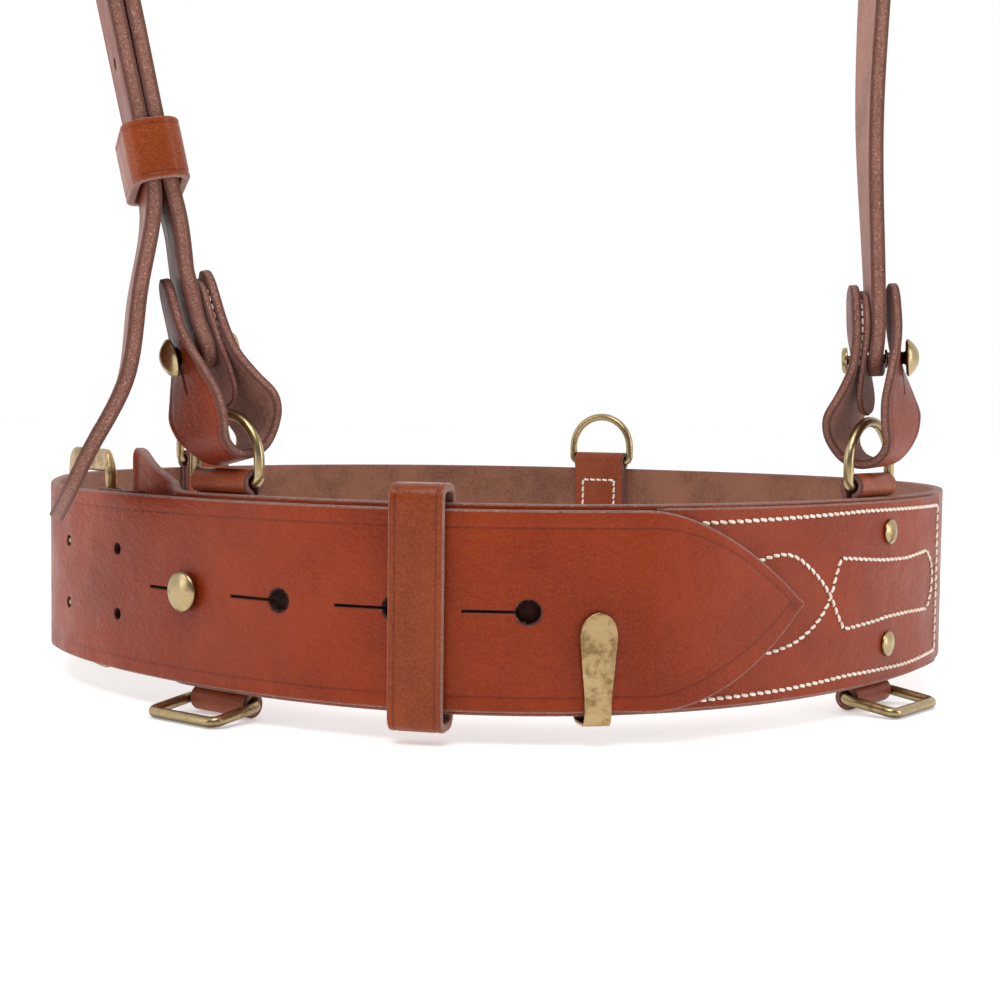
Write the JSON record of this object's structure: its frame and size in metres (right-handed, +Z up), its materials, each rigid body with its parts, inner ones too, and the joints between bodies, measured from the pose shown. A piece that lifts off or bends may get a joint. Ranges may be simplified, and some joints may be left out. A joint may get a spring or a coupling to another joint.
{
  "type": "leather waist belt with shoulder strap",
  "caption": "Wide tan leather waist belt with a pointed billet, buttoned studs, hook, double-tongue buckle and D-rings, and a shoulder strap buttoned to its front rings.",
  "frame": {"origin": "the wearer's waist centre, at half the belt's height", "axes": "+Z up along the body, -Y towards the front where the belt fastens, +X on the right of someone who looks at the front"},
  "size_m": [0.3319, 0.3303, 0.5106],
  "materials": {
    "belt_leather": "smooth vegetable-tanned, waxed, satin, with rough pale cut edges",
    "strap_leather": "flesh side and rough edges showing, matt",
    "chape_leather": "smooth, satin",
    "keeper_leather": "smooth, semi-gloss, with creased edges",
    "linen_thread": "waxed cream linen thread",
    "antique_brass": "antiqued, dark in its hollows",
    "pale_brass": "worn, dull and scratched"
  },
  "bodies": {
    "belt": {"belt_strap": "belt_leather", "front_panel": "belt_leather", "buckle_chape": "chape_leather", "belt_stud": "antique_brass", "belt_stud_washer": "antique_brass", "belt_hook": "pale_brass", "hook_rivet": "antique_brass", "tab_front_left": "chape_leather", "tab_front_right": "chape_leather", "tab_back_left": "chape_leather", "tab_back_right": "chape_leather", "rivet_left_upper": "antique_brass", "rivet_left_lower": "antique_brass", "rivet_right_upper": "antique_brass", "rivet_right_lower": "antique_brass", "rivet_burr_left_upper": "antique_brass", "rivet_burr_left_lower": "antique_brass", "rivet_burr_right_upper": "antique_brass", "rivet_burr_right_lower": "antique_brass"},
    "belt_keeper": {"belt_keeper": "keeper_leather"},
    "buckle_frame": {"buckle_frame": "pale_brass"},
    "tongue_upper": {"tongue_upper": "antique_brass"},
    "tongue_lower": {"tongue_lower": "antique_brass"},
    "d_ring_front_left": {"d_ring_front_left": "antique_brass"},
    "d_ring_front_right": {"d_ring_front_right": "antique_brass"},
    "d_ring_back_left": {"d_ring_back_left": "antique_brass"},
    "d_ring_back_right": {"d_ring_back_right": "antique_brass"},
    "lower_ring_left": {"lower_ring_left": "antique_brass"},
    "lower_ring_right": {"lower_ring_right": "antique_brass"},
    "shoulder_strap": {"strap_right": "strap_leather", "strap_left": "strap_leather", "strap_patch_left": "strap_leather", "strap_patch_right": "strap_leather", "chape_left": "chape_leather", "chape_right": "chape_leather", "strap_stud_left": "antique_brass", "strap_stud_right": "antique_brass", "stud_screw_left": "antique_brass", "stud_screw_right": "antique_brass", "brace_keeper": "keeper_leather", "brace_buckle": "antique_brass"},
    "strap_runner": {"strap_runner": "keeper_leather"},
    "brace_tongue": {"brace_tongue": "antique_brass"}
  },
  "joints": [
    {"name": "shoulder_strap_swing", "type": "hinge", "parent": "belt", "child": "shoulder_strap", "pos_m": [0.0202, -0.10908, 0.054], "axis": [0.991, 0.1342, 0], "range_deg": [-3, 3]},
    {"name": "d_ring_front_left_turn", "type": "hinge", "parent": "belt", "child": "d_ring_front_left", "pos_m": [-0.081, -0.12279, 0.0335], "axis": [-0.7922, 0.6102, 0], "range_deg": [-3, 3]},
    {"name": "d_ring_front_right_turn", "type": "hinge", "parent": "belt", "child": "d_ring_front_right", "pos_m": [0.12141, -0.09538, 0.0335], "axis": [-0.6355, -0.7721, 0], "range_deg": [-3, 3]},
    {"name": "d_ring_back_left_turn", "type": "hinge", "parent": "belt", "child": "d_ring_back_left", "pos_m": [-0.12862, 0.09464, 0.0335], "axis": [0.5819, 0.8133, 0], "range_deg": [-85, 100]},
    {"name": "d_ring_back_right_turn", "type": "hinge", "parent": "belt", "child": "d_ring_back_right", "pos_m": [0.04974, 0.13679, 0.0335], "axis": [0.8948, -0.4465, 0], "range_deg": [-85, 100]},
    {"name": "lower_ring_left_turn", "type": "hinge", "parent": "belt", "child": "lower_ring_left", "pos_m": [-0.081, -0.12279, -0.034], "axis": [-0.7922, 0.6102, 0], "range_deg": [-80, 12]},
    {"name": "lower_ring_right_turn", "type": "hinge", "parent": "belt", "child": "lower_ring_right", "pos_m": [0.12141, -0.09538, -0.034], "axis": [-0.6355, -0.7721, 0], "range_deg": [-80, 12]},
    {"name": "buckle_frame_turn", "type": "hinge", "parent": "belt", "child": "buckle_frame", "pos_m": [-0.12669, -0.08073, 0], "axis": [0, 0, -1], "range_deg": [0, 35]},
    {"name": "tongue_upper_turn", "type": "hinge", "parent": "belt", "child": "tongue_upper", "pos_m": [-0.12669, -0.08073, 0.0105], "axis": [0, 0, -1], "range_deg": [0, 30]},
    {"name": "tongue_lower_turn", "type": "hinge", "parent": "belt", "child": "tongue_lower", "pos_m": [-0.12669, -0.08073, -0.0105], "axis": [0, 0, -1], "range_deg": [0, 30]},
    {"name": "belt_keeper_slide", "type": "hinge", "parent": "belt", "child": "belt_keeper", "pos_m": [0.01068, -0.03412, 0], "axis": [0, 0, 1], "range_deg": [-4.4, 4.4]},
    {"name": "strap_runner_slide", "type": "slide", "parent": "shoulder_strap", "child": "strap_runner", "axis": [-0.2199, 0.06, 0.9737], "range_m": [0, 0.04]},
    {"name": "brace_tongue_turn", "type": "hinge", "parent": "shoulder_strap", "child": "brace_tongue", "pos_m": [-0.12209, -0.11497, 0.2309], "axis": [0.3012, -0.9452, 0.1263], "range_deg": [0, 12]}
  ]
}
